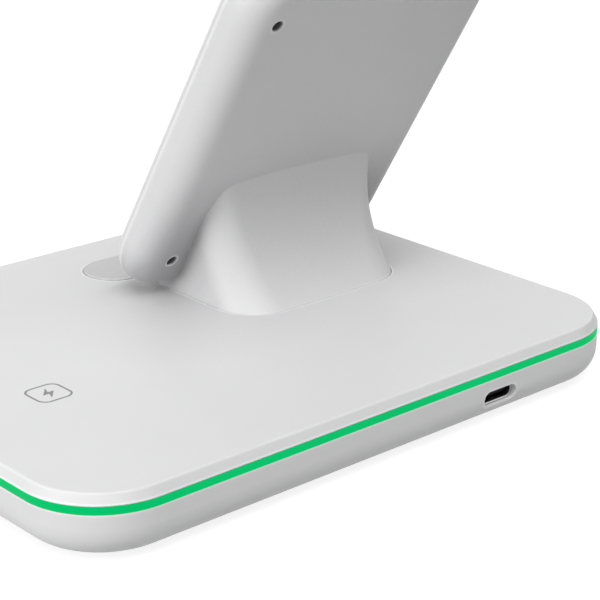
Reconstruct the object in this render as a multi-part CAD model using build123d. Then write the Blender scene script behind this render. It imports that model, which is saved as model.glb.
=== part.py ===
from build123d import *
from math import cos, radians, sin, tan
import os

# Three in one wireless charger: a flat base with a light strip round its edge, a phone panel
# that leans back on a hollow neck, and charging spots for earbuds and for a watch.
# Millimetres. X to the user's right, Y to the rear, Z up. The origin is on the table, under
# the middle of the base.

# Base
BASE_W = 140.0  # across, at the light strip
BASE_D = 112.6  # front to rear
BASE_CORNER_R = 16.4
SHELL_H = 9.25  # lower shell, from its underside to the light strip
SHELL_BOTTOM_R = 6.0
SHELL_WALL = 2.2
SHELL_FLOOR = 1.8
STRIP_H = 1.5  # light strip
COVER_T = 2.1
COVER_SLOPE_H = 1.85  # steep slope of the cover's side, along its side
COVER_SLOPE_W = 1.05  # and along its top
COVER_EDGE_R = 0.4
SEAM_BEVEL = 0.15  # on the cover's lower edge, over the strip

# Light guide and its source
GUIDE_LIP_T = 0.9  # lip that centres the guide in the lower shell
GUIDE_LIP_H = 1.2
LED_L = 1.6  # along the strip
LED_H = 1.2
LED_DEPTH = 0.7
LONG_SIDE_LED_COUNT = 6
SHORT_SIDE_LED_COUNT = 5
FLEX_T = 0.3
FLEX_H = 2.4
SKIRT_T = 1.2  # rib of the cover that backs the flex board
SKIRT_H = 3.0

# Feet, and the screws that hold the base together
FOOT_D = 12.0
FOOT_T = 1.6
FOOT_PROUD = 0.8
FOOT_INSET = 15.0  # from the base's sides to a foot's middle
BASE_SCREW_INSET = 11.0  # from the base's left or right side
BASE_SCREW_ROWS = ((-1, -28.0), (-1, 28.0), (1, -11.0), (1, 30.0))  # side, and Y
BASE_SCREW_D = 2.2
BASE_SCREW_L = 6.6
BASE_SCREW_HEAD_D = 4.2
BASE_SCREW_HEAD_H = 1.5
COUNTERBORE_H = 3.4  # from the shell's underside to the screw's seat
SHELL_BOSS_H = 5.6  # over the floor
BOSS_WALL = 1.6

# Stand: the panel
STAND_INSET = 40.0  # from the base's left side to the stand's middle
PANEL_LEAN = 31.6  # degrees back from upright
PANEL_W = 68.2
PANEL_L = 102.4
PANEL_T = 9.6
PANEL_CORNER_R = 19.7
PANEL_BACK_R = 5.5
PANEL_FRONT_INSET = 26.8  # from the base's front to where the panel's face meets the plate's level
PANEL_RISE = 48.5  # from there to the panel's middle, along the face
PANEL_LIFT = 4.15  # the panel's underside over the plate, midway between its faces
PANEL_UNDER_TILT = 14.0  # degrees, rising to the front
PANEL_UNDER_R = 0.8
PANEL_WALL = 2.2
FRONT_COVER_T = 1.6
FRONT_BEVEL_H = 1.4  # steep bevel of the front cover's edge, along its side
FRONT_BEVEL_W = 0.5  # and along its face
FRONT_LIP_T = 1.2  # lip that centres the cover in the shell
FRONT_LIP_H = 1.4
PANEL_SCREW_X = 26.8  # from the panel's middle
PANEL_SCREW_Y = 32.5
PANEL_SCREW_D = 1.6
PANEL_SCREW_L = 4.0
PANEL_SCREW_HEAD_D = 2.4
PANEL_SCREW_HEAD_H = 1.0
PANEL_SCREW_SUNK = 2.8  # head's top under the panel's back
PANEL_BOSS_D = 4.2
PANEL_BOSS_SPLIT = 5.0  # from the panel's back to where the two bosses meet

# Stand: the neck
NECK_TAPER = 0.4  # narrowing of each side towards the front
NECK_CROWN = 0.5  # bow of the rear side
NECK_STATIONS = (  # height over the plate, reach behind the panel's front line, width, corner radius
    (0.0, 37.4, 46.6, 9.5),
    (9.0, 31.0, 46.4, 8.2),
    (18.0, 27.8, 46.8, 6.6),
    (28.0, 28.1, 47.8, 5.4),
)
NECK_HOLLOW_STATIONS = 3  # the hollow ends at this station
NECK_FRONT_INSET = 2.6  # behind the panel's face
NECK_FRONT_R = 1.2
NECK_WALL = 2.2
NECK_SEAT = 0.8  # depth of the neck's foot in the cover
NECK_PAD_T = 1.4  # thickening of the cover under the neck
NECK_PAD_EDGE = 3.0
NECK_BOSS_D = 5.4
NECK_BOSS_H = 8.0
NECK_SCREW_X = 16.0  # from the stand's middle
NECK_SCREW_REACH = (11.4, 28.0)  # behind the panel's front line
NECK_SCREW_D = 2.0
NECK_SCREW_L = 7.5
NECK_SCREW_HEAD_D = 3.8
NECK_SCREW_HEAD_H = 1.3

# Phone coil, from the panel's middle
PHONE_COIL_UP = 20.0
PHONE_COIL_D = 44.0
PHONE_COIL_HOLE = 20.0
PHONE_COIL_T = 1.4
PHONE_FERRITE_D = 46.0
PHONE_FERRITE_T = 0.8
CARRIER_D = 50.0
CARRIER_T = 1.2
CARRIER_POST_D = 4.0
CARRIER_POST_OUT = 15.2  # from the coil's middle, each way

# Rest pad for the phone's lower edge
REST_PAD_L = 63.4
REST_PAD_W = 14.2
REST_PAD_AHEAD = 6.7  # its middle, in front of the panel's front line
REST_PAD_PROUD = 0.3
REST_PAD_SUNK = 0.6
REST_PAD_BEVEL = 0.2

# Earbud spot
EARBUD_INSET = 24.6  # from the base's right side
EARBUD_Y = 11.4
EARBUD_COIL_D = 34.0
EARBUD_COIL_HOLE = 16.0
COIL_T = 1.2
FERRITE_T = 0.8
COIL_RIB_T = 1.0
COIL_RIB_H = 1.4

# Watch spot
WATCH_INSET_X = 23.0  # from the base's right side
WATCH_INSET_Y = 21.8  # from the base's front
WATCH_PAD_D = 28.0
WATCH_PAD_PROUD = 0.8
WATCH_PAD_TOP_T = 1.6
WATCH_PAD_EDGE_R = 0.5
WATCH_DISH_D = 24.0
WATCH_DISH_DEPTH = 0.5
WATCH_FLANGE_W = 1.2
WATCH_FLANGE_T = 1.0
WATCH_WALL = 1.4
WATCH_COIL_HOLE = 12.0
WATCH_MAGNET_D = 10.0

# Driver board and inlet
BOARD_W = 40.0
BOARD_L = 32.0
BOARD_T = 1.0
BOARD_REACH = 1.5  # past the flat floor, towards the rear wall
BOARD_SCREW_INSET = 3.2
BOARD_SCREW_D = 1.6
BOARD_SCREW_HEAD_D = 3.0
BOARD_SCREW_HEAD_H = 1.0
BOARD_SCREW_GRIP = 1.6  # in the post
BOARD_POST_D = 4.4
CHIPS = (  # X and Y from the board's middle, side, height
    (-11.0, 2.0, 7.0, 1.0),
    (11.0, 2.0, 6.0, 2.8),
    (-11.0, -8.0, 5.0, 1.0),
    (10.0, -8.5, 5.0, 2.2),
)
SOCKET_W = 8.94
SOCKET_H = 3.0
SOCKET_L = 7.3
SOCKET_WALL = 0.3
SOCKET_BACK_T = 2.2
TONGUE_W = 6.7
TONGUE_T = 0.7
TONGUE_SHORT = 0.8  # tongue's end behind the mouth
PORT_OFFSET = 0.5  # inlet's middle, to the left of the stand's middle
PORT_UNDER_STRIP = 4.1  # inlet's middle under the strip
PORT_SETBACK = 1.4
PORT_CLEAR = 0.14

# Wires to the phone coil
HARNESS_D = 1.6
HARNESS_ON_BOARD = 5.0
HARNESS_BEND_UP = 13.0  # height over the plate where it turns along the panel
HARNESS_END_UP = 6.0  # over the panel's middle
HARNESS_LOW_R = 4.0
HARNESS_HIGH_R = 8.0
HARNESS_HOLE_D = 6.0

# Wires to the coils in the base
LEAD_D = 1.2
LEAD_ON_BOARD = 6.0
LEAD_OFFSET = 4.0  # beside the phone coil's wires
LEAD_BEND_R = 2.0
LEAD_UNDER_COIL = 7.0  # its end, from the coil's middle

# Clearances
FIT = 0.1  # located pieces, each side
SEAM = 0.2  # open seams, each side
HOLE_FIT = 0.2  # screw in its clearance hole, each side
PILOT_FIT = 0.02  # screw in its pilot hole, each side
BORE_END = 0.4  # pilot past the screw's tip

# Levels
FLOOR_Z = FOOT_PROUD + SHELL_FLOOR
STRIP_Z = FOOT_PROUD + SHELL_H
UNDER_Z = STRIP_Z + STRIP_H  # underside of the cover
PLATE_Z = UNDER_Z + COVER_T
BOSS_MEET_Z = FLOOR_Z + SHELL_BOSS_H
PORT_Z = STRIP_Z - PORT_UNDER_STRIP
BOARD_TOP_Z = PORT_Z - SOCKET_H / 2
BOARD_Z = BOARD_TOP_Z - BOARD_T


def four_corners(half_x, half_y, x=0, y=0):
    return [(x + side * half_x, y + end * half_y) for side in (-1, 1) for end in (-1, 1)]


# Places in plan
GUIDE_W = SHELL_WALL + FIT + GUIDE_LIP_T
LED_INSET = GUIDE_W + FIT
FLEX_INSET = LED_INSET + LED_DEPTH
SKIRT_INSET = FLEX_INSET + FLEX_T
STAND_X = STAND_INSET - BASE_W / 2
PORT_X = STAND_X - PORT_OFFSET
PANEL_FRONT_Y = PANEL_FRONT_INSET - BASE_D / 2
EARBUD_X = BASE_W / 2 - EARBUD_INSET
WATCH_X = BASE_W / 2 - WATCH_INSET_X
WATCH_Y = WATCH_INSET_Y - BASE_D / 2
BOARD_REAR_Y = BASE_D / 2 - SHELL_BOTTOM_R + BOARD_REACH
BOARD_Y = BOARD_REAR_Y - BOARD_L / 2
MOUTH_Y = BASE_D / 2 - PORT_SETBACK
FEET = four_corners(BASE_W / 2 - FOOT_INSET, BASE_D / 2 - FOOT_INSET)
BASE_HOLES = [(side * (BASE_W / 2 - BASE_SCREW_INSET), y) for side, y in BASE_SCREW_ROWS]
BOARD_HOLES = four_corners(
    BOARD_W / 2 - BOARD_SCREW_INSET, BOARD_L / 2 - BOARD_SCREW_INSET, STAND_X, BOARD_Y
)
NECK_HOLES = [
    (STAND_X + side * NECK_SCREW_X, PANEL_FRONT_Y + reach)
    for side in (-1, 1)
    for reach in NECK_SCREW_REACH
]
PANEL_HOLES = four_corners(PANEL_SCREW_X, PANEL_SCREW_Y)
CARRIER_POSTS = four_corners(CARRIER_POST_OUT, CARRIER_POST_OUT, 0, PHONE_COIL_UP)

# The panel's own frame: X across, Y up along its face, Z from its back (0) to its front (PANEL_T)
LEAN_SIN = sin(radians(PANEL_LEAN))
LEAN_COS = cos(radians(PANEL_LEAN))
PANEL_FRAME = Location(
    Plane(
        origin=(
            STAND_X,
            PANEL_FRONT_Y + PANEL_RISE * LEAN_SIN + PANEL_T * LEAN_COS,
            PLATE_Z + PANEL_RISE * LEAN_COS - PANEL_T * LEAN_SIN,
        ),
        x_dir=(1, 0, 0),
        z_dir=(0, -LEAN_COS, LEAN_SIN),
    )
)
PANEL_SCREW_SEAT = PANEL_SCREW_SUNK + PANEL_SCREW_HEAD_H
COVER_SEAT = PANEL_T - FRONT_COVER_T
UNDER_SIN = sin(radians(PANEL_UNDER_TILT))
UNDER_COS = cos(radians(PANEL_UNDER_TILT))
COIL_FRONT = COVER_SEAT - FIT
FERRITE_FRONT = COIL_FRONT - PHONE_COIL_T
CARRIER_FRONT = FERRITE_FRONT - PHONE_FERRITE_T
CARRIER_BACK = CARRIER_FRONT - CARRIER_T
HARNESS_LIFT = PANEL_WALL + HARNESS_D / 2 + SEAM
ON_FLOOR = (Align.CENTER, Align.CENTER, Align.MIN)


def panel_y(behind, height):
    """Y of the plane that lies a distance behind the panel's face, at a height over the plate."""
    return PANEL_FRONT_Y + height * tan(radians(PANEL_LEAN)) + behind / LEAN_COS


def post(x, y, bottom, top, diameter):
    return Pos(x, y, bottom) * Cylinder(diameter / 2, top - bottom, align=ON_FLOOR)


def posts(places, bottom, top, diameter):
    return [post(x, y, bottom, top, diameter) for x, y in places]


def ring(x, y, bottom, top, outer_d, inner_d):
    return post(x, y, bottom, top, outer_d) - post(x, y, bottom, top, inner_d)


def screw(x, y, seat, length, diameter, head_d, head_h):
    """Screw that points up, with its head under the seat."""
    return post(x, y, seat, seat + length, diameter) + post(x, y, seat - head_h, seat, head_d)


def base_slab(inset, bottom, top):
    outline = RectangleRounded(BASE_W - 2 * inset, BASE_D - 2 * inset, BASE_CORNER_R - inset)
    return extrude(Pos(0, 0, bottom) * outline, amount=top - bottom)


def base_ring(outer_inset, inner_inset, bottom, top):
    return base_slab(outer_inset, bottom, top) - base_slab(inner_inset, bottom, top)


def port_slot(width, height, front, rear):
    """Flat oval bar through the inlet's middle, from one Y to another."""
    mouth = Plane(origin=(PORT_X, rear, PORT_Z), x_dir=(1, 0, 0), z_dir=(0, -1, 0))
    return extrude(mouth * SlotOverall(width, height), amount=rear - front)


def neck_section(station, inset):
    """Level section of the neck: rounded at the rear, tucked behind the panel's face in front."""
    height, reach, width, corner_r = station
    front = panel_y(NECK_FRONT_INSET, height) + inset
    rear = PANEL_FRONT_Y + reach - inset
    corner_y = rear - NECK_CROWN
    half = width / 2 - inset
    front_half = half - NECK_TAPER
    sides = Polyline((half, corner_y), (front_half, front), (-front_half, front), (-half, corner_y))
    bow = ThreePointArc((-half, corner_y), (0, rear), (half, corner_y))
    outline = Pos(STAND_X, 0) * make_face(sides + bow)
    outline = fillet(outline.vertices().group_by(Axis.Y)[-1], corner_r - inset)
    outline = fillet(outline.vertices().group_by(Axis.Y)[0], NECK_FRONT_R)
    return Pos(0, 0, PLATE_Z + height) * outline


def neck_foot(inset, bottom, top):
    """The neck's foot outline, drawn straight through from one level to another."""
    foot = Pos(0, 0, bottom - PLATE_Z) * neck_section(NECK_STATIONS[0], inset)
    return extrude(foot, amount=top - bottom)


def over_underside(body, inset):
    """What of a body lies over the panel's tilted underside, drawn in by an inset."""
    reach = BASE_W + BASE_D + PANEL_L
    below = Box(reach, reach, reach, align=(Align.CENTER, Align.CENTER, Align.MAX))
    middle = (STAND_X, panel_y(PANEL_T / 2, PANEL_LIFT), PLATE_Z + PANEL_LIFT)
    underside = Plane(origin=middle, x_dir=(1, 0, 0), z_dir=(0, UNDER_SIN, UNDER_COS))
    return body - underside * Pos(0, 0, inset) * below


def panel_slab(inset, back, front, back_r=0):
    """Slab of the panel's outline, placed, from one depth of the panel's frame to another."""
    outline = RectangleRounded(PANEL_W - 2 * inset, PANEL_L - 2 * inset, PANEL_CORNER_R - inset)
    slab = extrude(Pos(0, 0, back) * outline, amount=front - back)
    if back_r:
        slab = fillet(slab.edges().group_by(Axis.Z)[0], back_r)
    return over_underside(PANEL_FRAME * slab, inset)


def panel_posts(places, back, front, diameter):
    """Posts square to the panel, placed, from one depth of the panel's frame to another."""
    return [PANEL_FRAME * upright for upright in posts(places, back, front, diameter)]


def lower_shell():
    shell = base_slab(0, FOOT_PROUD, STRIP_Z)
    shell = fillet(shell.edges().group_by(Axis.Z)[0], SHELL_BOTTOM_R)
    hollow = base_slab(SHELL_WALL, FLOOR_Z, STRIP_Z)
    shell -= fillet(hollow.edges().group_by(Axis.Z)[0], SHELL_BOTTOM_R - SHELL_WALL)
    boss_d = BASE_SCREW_HEAD_D + 2 * HOLE_FIT + 2 * BOSS_WALL
    shell += posts(BASE_HOLES, FLOOR_Z, BOSS_MEET_Z, boss_d)
    shell += posts(BOARD_HOLES, FLOOR_Z, BOARD_Z, BOARD_POST_D)
    shell -= posts(FEET, FOOT_PROUD, FOOT_T, FOOT_D + 2 * FIT)
    shell -= posts(BASE_HOLES, FOOT_PROUD, FOOT_PROUD + COUNTERBORE_H, BASE_SCREW_HEAD_D + 2 * HOLE_FIT)
    shell -= posts(BASE_HOLES, FOOT_PROUD, BOSS_MEET_Z, BASE_SCREW_D + 2 * HOLE_FIT)
    pilot_z = BOARD_Z - BOARD_SCREW_GRIP - BORE_END / 2
    shell -= posts(BOARD_HOLES, pilot_z, BOARD_Z, BOARD_SCREW_D + 2 * PILOT_FIT)
    port_w = SOCKET_W + 2 * PORT_CLEAR
    port_h = SOCKET_H + 2 * PORT_CLEAR
    return shell - port_slot(port_w, port_h, BASE_D / 2 - SHELL_BOTTOM_R, BASE_D / 2)


def top_cover():
    cover = base_slab(0, UNDER_Z, PLATE_Z)
    top = cover.faces().sort_by(Axis.Z)[-1]
    cover = chamfer(top.edges(), COVER_SLOPE_W, COVER_SLOPE_H, reference=top)
    cover = fillet(cover.edges().group_by(Axis.Z)[-1], COVER_EDGE_R)
    cover = chamfer(cover.edges().group_by(Axis.Z)[0], SEAM_BEVEL)
    cover += base_ring(SKIRT_INSET, SKIRT_INSET + SKIRT_T, UNDER_Z - SKIRT_H, UNDER_Z)
    cover += posts(BASE_HOLES, BOSS_MEET_Z, UNDER_Z, BASE_SCREW_D + 2 * BOSS_WALL)
    cover += neck_foot(-NECK_PAD_EDGE, UNDER_Z - NECK_PAD_T, UNDER_Z)
    rib_d = EARBUD_COIL_D + 2 * FIT
    cover += ring(EARBUD_X, EARBUD_Y, UNDER_Z - COIL_RIB_H, UNDER_Z, rib_d + 2 * COIL_RIB_T, rib_d)
    tip = FOOT_PROUD + COUNTERBORE_H + BASE_SCREW_L
    cover -= posts(BASE_HOLES, BOSS_MEET_Z, tip + BORE_END, BASE_SCREW_D + 2 * PILOT_FIT)
    cover -= neck_foot(-SEAM, PLATE_Z - NECK_SEAT, PLATE_Z)
    cover -= posts(NECK_HOLES, UNDER_Z - NECK_PAD_T, PLATE_Z, NECK_SCREW_D + 2 * HOLE_FIT)
    cover -= post(STAND_X, harness_y(), UNDER_Z - NECK_PAD_T, PLATE_Z, HARNESS_HOLE_D)
    cover -= post(WATCH_X, WATCH_Y, UNDER_Z, PLATE_Z, WATCH_PAD_D + 2 * SEAM)
    return cover - rest_pad_slab(SEAM, PLATE_Z)


def light_guide():
    strip = base_ring(0, GUIDE_W, STRIP_Z, UNDER_Z)
    return strip + base_ring(SHELL_WALL + FIT, GUIDE_W, STRIP_Z - GUIDE_LIP_H, STRIP_Z)


def led_chips():
    """Light chips on the flex board, facing out, evenly spread along the straight sides."""
    chips = []
    middle_z = UNDER_Z - STRIP_H / 2
    for half, run, count, turn in (
        (BASE_D / 2, BASE_W - 2 * BASE_CORNER_R, LONG_SIDE_LED_COUNT, 0),
        (BASE_W / 2, BASE_D - 2 * BASE_CORNER_R, SHORT_SIDE_LED_COUNT, 90),
    ):
        chip = Box(LED_L, LED_DEPTH, LED_H)
        for step in range(count):
            along = (step - (count - 1) / 2) * run / count
            for side in (0, 180):
                place = Pos(along, half - LED_INSET - LED_DEPTH / 2, middle_z)
                chips.append(Rot(0, 0, turn + side) * place * chip)
    return chips


def flex_board():
    return base_ring(FLEX_INSET, SKIRT_INSET, UNDER_Z - FLEX_H, UNDER_Z)


def rest_pad_slab(margin, top):
    """Long round-ended slab in front of the panel, widened by a margin, up to a level."""
    bottom = PLATE_Z - REST_PAD_SUNK
    outline = SlotOverall(REST_PAD_L + 2 * margin, REST_PAD_W + 2 * margin)
    return extrude(Pos(STAND_X, PANEL_FRONT_Y - REST_PAD_AHEAD, bottom) * outline, amount=top - bottom)


def rest_pad():
    pad = rest_pad_slab(0, PLATE_Z + REST_PAD_PROUD)
    return chamfer(pad.edges().group_by(Axis.Z)[-1], REST_PAD_BEVEL)


def watch_pad():
    """Turned pad: flange under the cover, rounded rim, shallow dish on top, pocket beneath."""
    top = PLATE_Z + WATCH_PAD_PROUD
    flange_z = UNDER_Z - WATCH_FLANGE_T
    pad_r = WATCH_PAD_D / 2
    pad = post(0, 0, flange_z, top, WATCH_PAD_D)
    pad = fillet(pad.edges().group_by(Axis.Z)[-1], WATCH_PAD_EDGE_R)
    pad += post(0, 0, flange_z, UNDER_Z, 2 * (pad_r + SEAM + WATCH_FLANGE_W))
    pad -= post(0, 0, flange_z, top - WATCH_PAD_TOP_T, 2 * (pad_r - WATCH_WALL))
    dish_edge = (WATCH_DISH_D / 2, top)
    dish_low = (0, top - WATCH_DISH_DEPTH)
    bowl = TangentArc(dish_low, dish_edge, tangent=(1, 0))
    half = make_face(bowl + Polyline(dish_edge, (0, top), dish_low))
    pad -= revolve(Plane.XZ * half, Axis.Z)
    return Pos(WATCH_X, WATCH_Y) * pad


def watch_stack():
    """Coil, magnet and ferrite in the pad's pocket."""
    top = PLATE_Z + WATCH_PAD_PROUD - WATCH_PAD_TOP_T
    outer_d = WATCH_PAD_D - 2 * WATCH_WALL - 2 * FIT
    coil = ring(WATCH_X, WATCH_Y, top - COIL_T, top, outer_d, WATCH_COIL_HOLE)
    magnet = post(WATCH_X, WATCH_Y, top - COIL_T, top, WATCH_MAGNET_D)
    ferrite = post(WATCH_X, WATCH_Y, top - COIL_T - FERRITE_T, top - COIL_T, outer_d)
    return coil, magnet, ferrite


def earbud_stack():
    coil = ring(EARBUD_X, EARBUD_Y, UNDER_Z - COIL_T, UNDER_Z, EARBUD_COIL_D, EARBUD_COIL_HOLE)
    ferrite = post(EARBUD_X, EARBUD_Y, UNDER_Z - COIL_T - FERRITE_T, UNDER_Z - COIL_T, EARBUD_COIL_D)
    return coil, ferrite


def main_board():
    board = Pos(STAND_X, BOARD_Y, BOARD_Z) * Box(BOARD_W, BOARD_L, BOARD_T, align=ON_FLOOR)
    return board - posts(BOARD_HOLES, BOARD_Z, BOARD_TOP_Z, BOARD_SCREW_D + 2 * HOLE_FIT)


def board_chips():
    return [
        Pos(STAND_X + x, BOARD_Y + y, BOARD_TOP_Z) * Box(side, side, height, align=ON_FLOOR)
        for x, y, side, height in CHIPS
    ]


def board_screws():
    length = BOARD_T + BOARD_SCREW_GRIP
    return [
        post(x, y, BOARD_TOP_Z - length, BOARD_TOP_Z, BOARD_SCREW_D)
        + post(x, y, BOARD_TOP_Z, BOARD_TOP_Z + BOARD_SCREW_HEAD_H, BOARD_SCREW_HEAD_D)
        for x, y in BOARD_HOLES
    ]


def usb_socket():
    rear = MOUTH_Y - SOCKET_L
    shell = port_slot(SOCKET_W, SOCKET_H, rear, MOUTH_Y)
    inner_w = SOCKET_W - 2 * SOCKET_WALL
    inner_h = SOCKET_H - 2 * SOCKET_WALL
    shell -= port_slot(inner_w, inner_h, rear + SOCKET_WALL, MOUTH_Y)
    block_front = rear + SOCKET_WALL
    block = port_slot(inner_w, inner_h, block_front, block_front + SOCKET_BACK_T)
    tongue_l = MOUTH_Y - TONGUE_SHORT - block_front
    block += Pos(PORT_X, block_front + tongue_l / 2, PORT_Z) * Box(TONGUE_W, tongue_l, TONGUE_T)
    return shell, block


def stand_back_shell():
    """Panel tray and hollow neck, moulded as one piece."""
    shell = panel_slab(0, 0, COVER_SEAT, PANEL_BACK_R)
    under = shell.faces().sort_by(Axis((0, 0, 0), (0, UNDER_SIN, UNDER_COS)))[0]
    rear_edges = under.edges().sort_by(Axis((0, 0, 0), (0, -LEAN_COS, LEAN_SIN)))[:-1]
    shell = fillet(rear_edges, PANEL_UNDER_R)
    foot_z = PLATE_Z - NECK_SEAT
    neck = loft([neck_section(station, 0) for station in NECK_STATIONS]) + neck_foot(0, foot_z, PLATE_Z)
    shell += neck
    shell -= panel_slab(PANEL_WALL, PANEL_WALL, PANEL_T, PANEL_BACK_R - PANEL_WALL)
    hollow = [neck_section(station, NECK_WALL) for station in NECK_STATIONS[:NECK_HOLLOW_STATIONS]]
    shell -= loft(hollow) + neck_foot(NECK_WALL, foot_z, PLATE_Z)
    for boss in posts(NECK_HOLES, foot_z, PLATE_Z + NECK_BOSS_H, NECK_BOSS_D):
        shell += boss & neck
    tip = UNDER_Z - NECK_PAD_T + NECK_SCREW_L
    shell -= posts(NECK_HOLES, foot_z, tip + BORE_END, NECK_SCREW_D + 2 * PILOT_FIT)
    shell += panel_posts(PANEL_HOLES, PANEL_WALL, PANEL_BOSS_SPLIT, PANEL_BOSS_D)
    shell += panel_posts(CARRIER_POSTS, PANEL_WALL, CARRIER_BACK, CARRIER_POST_D)
    shell -= panel_posts(PANEL_HOLES, 0, PANEL_SCREW_SEAT, PANEL_SCREW_HEAD_D + 2 * FIT)
    return shell - panel_posts(PANEL_HOLES, 0, PANEL_BOSS_SPLIT, PANEL_SCREW_D + 2 * HOLE_FIT)


def panel_front_cover():
    """Plate over the panel's whole face, with a lip inside the shell's wall."""
    cover = panel_slab(0, COVER_SEAT, PANEL_T)
    face = cover.faces().sort_by(Axis((0, 0, 0), (0, -LEAN_COS, LEAN_SIN)))[-1]
    cover = chamfer(face.edges(), FRONT_BEVEL_W, FRONT_BEVEL_H, reference=face)
    lip_inset = PANEL_WALL + FIT
    lip = panel_slab(lip_inset, COVER_SEAT - FRONT_LIP_H, COVER_SEAT)
    cover += lip - panel_slab(lip_inset + FRONT_LIP_T, COVER_SEAT - FRONT_LIP_H, COVER_SEAT)
    cover += panel_posts(PANEL_HOLES, PANEL_BOSS_SPLIT, COVER_SEAT, PANEL_BOSS_D)
    pilot_end = PANEL_SCREW_SEAT + PANEL_SCREW_L + BORE_END
    return cover - panel_posts(PANEL_HOLES, PANEL_BOSS_SPLIT, pilot_end, PANEL_SCREW_D + 2 * PILOT_FIT)


def panel_screws():
    sizes = (PANEL_SCREW_L, PANEL_SCREW_D, PANEL_SCREW_HEAD_D, PANEL_SCREW_HEAD_H)
    return [PANEL_FRAME * screw(x, y, PANEL_SCREW_SEAT, *sizes) for x, y in PANEL_HOLES]


def phone_stack():
    coil = ring(0, PHONE_COIL_UP, FERRITE_FRONT, COIL_FRONT, PHONE_COIL_D, PHONE_COIL_HOLE)
    ferrite = post(0, PHONE_COIL_UP, CARRIER_FRONT, FERRITE_FRONT, PHONE_FERRITE_D)
    carrier = post(0, PHONE_COIL_UP, CARRIER_BACK, CARRIER_FRONT, CARRIER_D)
    return [PANEL_FRAME * piece for piece in (coil, ferrite, carrier)]


def harness_y():
    """Y of the wires' upright run, under the point where they turn along the panel."""
    return panel_y(PANEL_T - HARNESS_LIFT, HARNESS_BEND_UP)


def stand_harness():
    level = BOARD_TOP_Z + FIT + HARNESS_D / 2
    start = (STAND_X, BOARD_REAR_Y - BOARD_L + HARNESS_ON_BOARD, level)
    turn = (STAND_X, harness_y(), level)
    bend = (STAND_X, harness_y(), PLATE_Z + HARNESS_BEND_UP)
    end = (PANEL_FRAME * Pos(0, HARNESS_END_UP, HARNESS_LIFT)).position
    route = FilletPolyline(start, turn, bend, end, radius=[HARNESS_LOW_R, HARNESS_HIGH_R])
    section = Plane(origin=start, z_dir=(0, -1, 0)) * Circle(HARNESS_D / 2)
    return sweep(section, path=route)


def lead(*points):
    """Round wire along a bent route that starts along X or Y."""
    route = FilletPolyline(*points, radius=LEAD_BEND_R)
    section = Plane(origin=points[0], z_dir=route % 0) * Circle(LEAD_D / 2)
    return sweep(section, path=route)


def base_leads():
    """Wires from the driver board up to the earbud coil and the watch coil."""
    level = BOARD_TOP_Z + FIT + LEAD_D / 2
    board_front = BOARD_REAR_Y - BOARD_L
    earbud_x = EARBUD_X - LEAD_UNDER_COIL
    earbud_y = EARBUD_Y + LEAD_UNDER_COIL
    earbud_z = UNDER_Z - COIL_T - FERRITE_T - FIT
    earbud_start = (STAND_X + BOARD_W / 2 - LEAD_ON_BOARD, board_front + LEAD_ON_BOARD + LEAD_BEND_R, level)
    watch_x = WATCH_X - LEAD_UNDER_COIL
    watch_y = WATCH_Y + LEAD_UNDER_COIL
    watch_z = PLATE_Z + WATCH_PAD_PROUD - WATCH_PAD_TOP_T - COIL_T - FERRITE_T - FIT
    lane_x = STAND_X + LEAD_OFFSET
    return [
        lead(
            earbud_start,
            (earbud_x, earbud_start[1], level),
            (earbud_x, earbud_y, level),
            (earbud_x, earbud_y, earbud_z),
        ),
        lead(
            (lane_x, board_front + LEAD_ON_BOARD, level),
            (lane_x, watch_y, level),
            (watch_x, watch_y, level),
            (watch_x, watch_y, watch_z),
        ),
    ]


def base_screws():
    sizes = (BASE_SCREW_L, BASE_SCREW_D, BASE_SCREW_HEAD_D, BASE_SCREW_HEAD_H)
    return [screw(x, y, FOOT_PROUD + COUNTERBORE_H, *sizes) for x, y in BASE_HOLES]


def neck_screws():
    sizes = (NECK_SCREW_L, NECK_SCREW_D, NECK_SCREW_HEAD_D, NECK_SCREW_HEAD_H)
    return [screw(x, y, UNDER_Z - NECK_PAD_T, *sizes) for x, y in NECK_HOLES]


def all_pieces():
    usb_shell, usb_tongue = usb_socket()
    watch_coil, watch_magnet, watch_ferrite = watch_stack()
    earbud_coil, earbud_ferrite = earbud_stack()
    phone_coil, phone_ferrite, coil_carrier = phone_stack()
    return {
        "base_lower_shell": lower_shell(),
        "base_top_cover": top_cover(),
        "light_guide_ring": light_guide(),
        "led_flex_board": flex_board(),
        "led_chips": led_chips(),
        "main_board": main_board(),
        "board_chips": board_chips(),
        "board_screws": board_screws(),
        "usb_socket_shell": usb_shell,
        "usb_tongue": usb_tongue,
        "rest_pad": rest_pad(),
        "earbud_coil": earbud_coil,
        "earbud_ferrite": earbud_ferrite,
        "watch_pad": watch_pad(),
        "watch_coil": watch_coil,
        "watch_magnet": watch_magnet,
        "watch_ferrite": watch_ferrite,
        "stand_back_shell": stand_back_shell(),
        "panel_front_cover": panel_front_cover(),
        "phone_coil": phone_coil,
        "phone_ferrite": phone_ferrite,
        "coil_carrier": coil_carrier,
        "panel_screws": panel_screws(),
        "stand_harness": stand_harness(),
        "base_leads": base_leads(),
        "rubber_feet": posts(FEET, 0, FOOT_T, FOOT_D),
        "base_screws": base_screws(),
        "neck_screws": neck_screws(),
    }


os.makedirs("parts", exist_ok=True)
for name, piece in all_pieces().items():
    group = piece if isinstance(piece, list) else [piece]
    solids = [solid for part in group for solid in part.solids()]
    export_step(Compound(children=solids), f"parts/{name}.step")
    print(name, len(solids), round(sum(solid.volume for solid in solids), 1))
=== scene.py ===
# %% [markdown]
# # Three in one wireless charger
# A flat base with a lit edge carries a leaning phone panel on a hollow neck. Two more spots on the base
# charge earbuds and a watch. The solids come packed from the CAD, in metres, and are loaded first.
# Every shell that is already right keeps its solid here and gets a finish. What is too fine for the
# solids, such as screw threads, windings, contacts and the printed mark, is made below in mesh code.

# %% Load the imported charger
import math

import bmesh
import bpy
from mathutils import Matrix, Vector


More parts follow.
